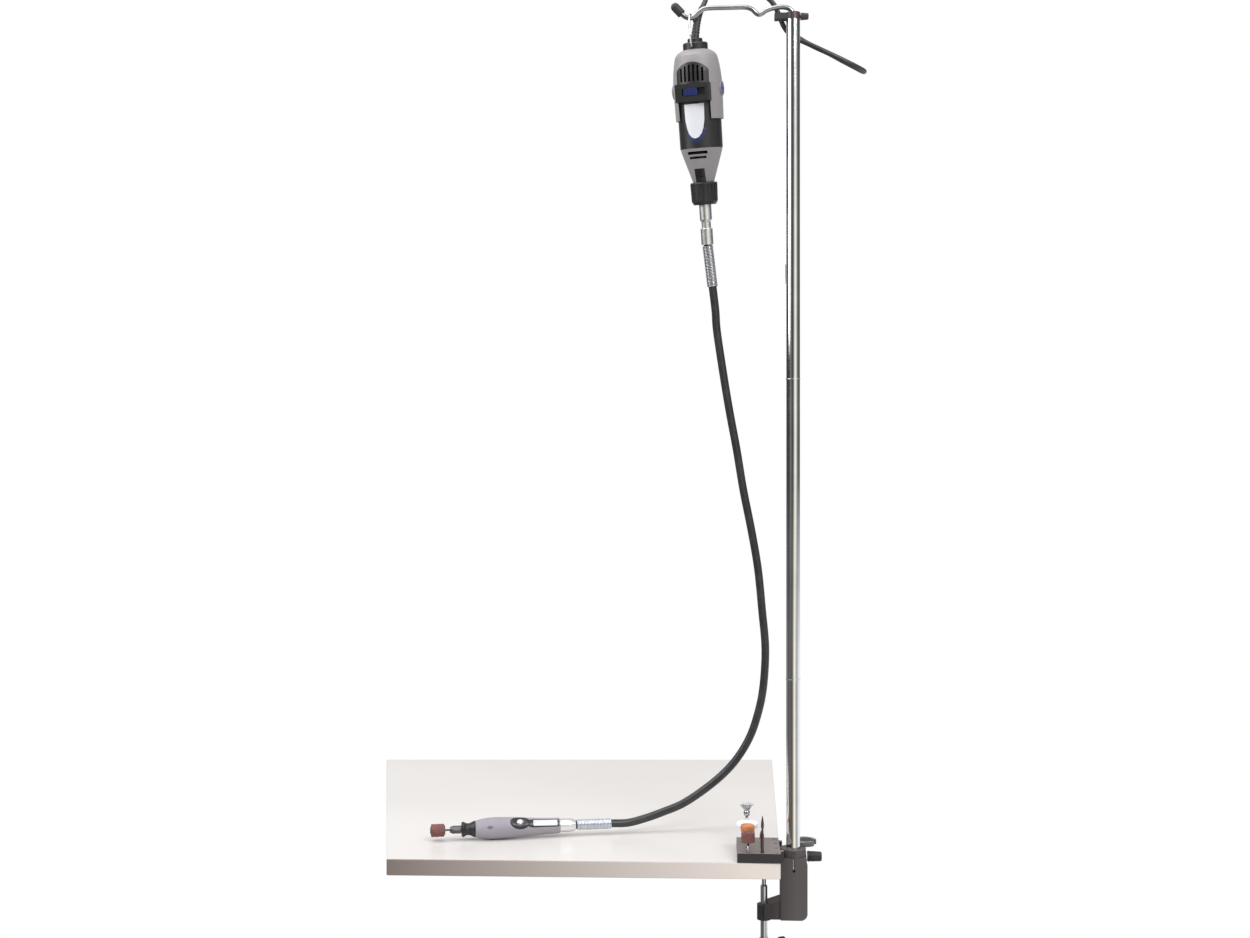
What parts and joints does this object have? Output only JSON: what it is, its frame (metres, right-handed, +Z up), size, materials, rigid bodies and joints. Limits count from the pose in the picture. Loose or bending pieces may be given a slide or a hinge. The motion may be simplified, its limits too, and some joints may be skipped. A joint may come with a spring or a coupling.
{
  "type": "rotary tool with flex shaft",
  "caption": "Hanging rotary tool with a flex shaft and a slim handpiece, on a clamp-on telescopic bench stand with a bit tray.",
  "frame": {"origin": "on the upper jaw's face, which rests on the bench top, on the clamp screw's axis", "axes": "+X right, +Y away from the user, +Z up along the mast"},
  "size_m": [0.518, 0.1436, 1.1244],
  "materials": {
    "black_plastic": "satin",
    "blue_plastic": "gloss",
    "brown_point": "matt",
    "carbon": "dull",
    "cast_black": "painted, satin",
    "copper": "windings",
    "cord_black": "satin",
    "dark_steel": "blued",
    "grey_housing": "fine moulded grain",
    "grip_grey": "soft touch",
    "knob_brown": "satin",
    "lamination": "dull",
    "mast_chrome": "bright",
    "orange_stone": "abrasive",
    "red_grit": "abrasive",
    "rubber_black": "matt",
    "white_felt": "felt",
    "white_label": "bare label",
    "white_washer": "satin",
    "zinc_steel": "zinc plated"
  },
  "bodies": {
    "stand": {"clamp_frame": "cast_black", "bit_tray": "black_plastic", "tray_screws": "zinc_steel", "collar_screws": "zinc_steel", "tool_ring": "black_plastic"},
    "clamp_pad": {"clamp_pad": "cast_black"},
    "clamp_screw": {"clamp_screw": "zinc_steel", "screw_bar": "zinc_steel", "bar_caps": "rubber_black"},
    "lock_washer": {"lock_washer": "white_washer"},
    "lock_knob": {"lock_knob": "black_plastic"},
    "mast": {"mast_lower": "mast_chrome", "mast_middle": "mast_chrome", "mast_upper": "mast_chrome", "mast_sleeves": "mast_chrome", "hub": "black_plastic", "mains_cord": "cord_black", "cord_hank": "cord_black", "cord_tie": "rubber_black", "plug": "black_plastic"},
    "hub_knob": {"hub_knob": "knob_brown"},
    "hanger": {"hanger_rod": "zinc_steel", "rod_tip": "rubber_black"},
    "bail": {"bail": "zinc_steel"},
    "motor": {"end_cap": "black_plastic", "cord_boot": "rubber_black", "housing_shell": "grey_housing", "motor_barrel": "black_plastic", "grille": "black_plastic", "switch_plate": "black_plastic", "label_plate": "white_label", "brush_caps": "blue_plastic", "carbon_brushes": "carbon", "stator": "lamination", "motor_bearings": "zinc_steel", "nose_cone": "grey_housing", "coupling_nut": "black_plastic", "upper_ferrule": "zinc_steel", "upper_spring": "zinc_steel", "flex_sheath": "cord_black", "flex_core": "dark_steel"},
    "speed_slider": {"speed_slider": "blue_plastic"},
    "shaft_lock": {"shaft_lock": "black_plastic"},
    "rotor": {"rotor": "copper"},
    "handpiece": {"lower_spring": "zinc_steel", "lower_ferrule": "zinc_steel", "grip": "grip_grey", "grip_nose": "black_plastic", "grip_label": "white_label", "grip_bearings": "zinc_steel"},
    "grip_button": {"grip_button": "zinc_steel"},
    "spindle": {"spindle": "dark_steel", "sanding_drum": "red_grit"},
    "wire_brush": {"wire_brush": "zinc_steel"},
    "felt_wheel": {"felt_wheel": "white_felt"},
    "grinding_stone": {"grinding_stone": "orange_stone"},
    "spare_drum": {"spare_drum": "red_grit"},
    "pointed_bit": {"pointed_bit": "dark_steel"},
    "polishing_point": {"polishing_point": "brown_point"}
  },
  "joints": [
    {"name": "pad_travel", "type": "slide", "parent": "stand", "child": "clamp_pad", "axis": [0, 0, 1], "range_m": [-0.0175, 0.015]},
    {"name": "screw_turn", "type": "hinge", "parent": "clamp_pad", "child": "clamp_screw", "pos_m": [0, 0, -0.05], "axis": [0, 0, 1], "range_deg": [-5040, 4320]},
    {"name": "washer_travel", "type": "slide", "parent": "stand", "child": "lock_washer", "axis": [1, 0, 0], "range_m": [0, 0.003]},
    {"name": "lock_knob_turn", "type": "hinge", "parent": "lock_washer", "child": "lock_knob", "pos_m": [0.055, 0, -0.001], "axis": [1, 0, 0], "range_deg": [0, 1080]},
    {"name": "mast_height", "type": "slide", "parent": "stand", "child": "mast", "axis": [0, 0, 1], "range_m": [0, 0.03]},
    {"name": "hub_knob_turn", "type": "hinge", "parent": "mast", "child": "hub_knob", "pos_m": [0.046, 0, 0.9642], "axis": [1, 0, 0], "range_deg": [0, 720]},
    {"name": "hanger_swivel", "type": "hinge", "parent": "mast", "child": "hanger", "pos_m": [0.0334, 0, 0.96], "axis": [0, 0, 1], "range_deg": [-60, 60], "deforming": ["mains_cord"]},
    {"name": "bail_swing", "type": "hinge", "parent": "hanger", "child": "bail", "pos_m": [-0.085, 0, 0.9647], "axis": [1, 0, 0], "range_deg": [0, 10]},
    {"name": "motor_tilt", "type": "hinge", "parent": "bail", "child": "motor", "pos_m": [-0.07886, 0.00435, 0.93159], "axis": [0.2419, 0.9556, 0.1685], "range_deg": [0, 8]},
    {"name": "speed_slide", "type": "slide", "parent": "motor", "child": "speed_slider", "axis": [0.9685, -0.2485, 0.0163], "range_m": [-0.0015, 0.0075]},
    {"name": "shaft_lock_press", "type": "slide", "parent": "motor", "child": "shaft_lock", "axis": [0.2415, 0.953, 0.183], "range_m": [0, 0.0015], "stiffness_N_per_m": 800, "springref_m": -0.002},
    {"name": "rotor_spin", "type": "hinge", "parent": "motor", "child": "rotor", "pos_m": [-0.07371, 0.019, 0.84853], "axis": [-0.061, -0.1733, 0.983], "continuous": true},
    {"name": "handpiece_lift", "type": "hinge", "parent": "motor", "child": "handpiece", "pos_m": [-0.05, 0.1, 0.068], "axis": [-0.225, 0.9744, 0], "range_deg": [0, 30], "deforming": ["flex_sheath", "flex_core"]},
    {"name": "grip_button_press", "type": "slide", "parent": "handpiece", "child": "grip_button", "axis": [-0.1591, 0.689, -0.7071], "range_m": [0, 0.0012], "stiffness_N_per_m": 500, "springref_m": -0.002},
    {"name": "spindle_spin", "type": "hinge", "parent": "handpiece", "child": "spindle", "pos_m": [-0.32716, 0.05026, 0.013], "axis": [-0.9744, -0.225, 0], "continuous": true},
    {"name": "wire_brush_lift", "type": "slide", "parent": "stand", "child": "wire_brush", "axis": [0, 0, 1], "range_m": [0, 0.045]},
    {"name": "felt_wheel_lift", "type": "slide", "parent": "stand", "child": "felt_wheel", "axis": [0, 0, 1], "range_m": [0, 0.01]},
    {"name": "grinding_stone_lift", "type": "slide", "parent": "stand", "child": "grinding_stone", "axis": [0, 0, 1], "range_m": [0, 0.04]},
    {"name": "spare_drum_lift", "type": "slide", "parent": "stand", "child": "spare_drum", "axis": [0, 0, 1], "range_m": [0, 0.04]},
    {"name": "pointed_bit_lift", "type": "slide", "parent": "stand", "child": "pointed_bit", "axis": [0, 0, 1], "range_m": [0, 0.045]},
    {"name": "polishing_point_lift", "type": "slide", "parent": "stand", "child": "polishing_point", "axis": [0, 0, 1], "range_m": [0, 0.035]}
  ],
  "couplings": [
    {"joint": "pad_travel", "follows": "screw_turn", "m_per_rad": 0.00019894},
    {"joint": "washer_travel", "follows": "lock_knob_turn", "m_per_rad": 0.00015915},
    {"joint": "spindle_spin", "follows": "rotor_spin", "ratio": 1}
  ]
}
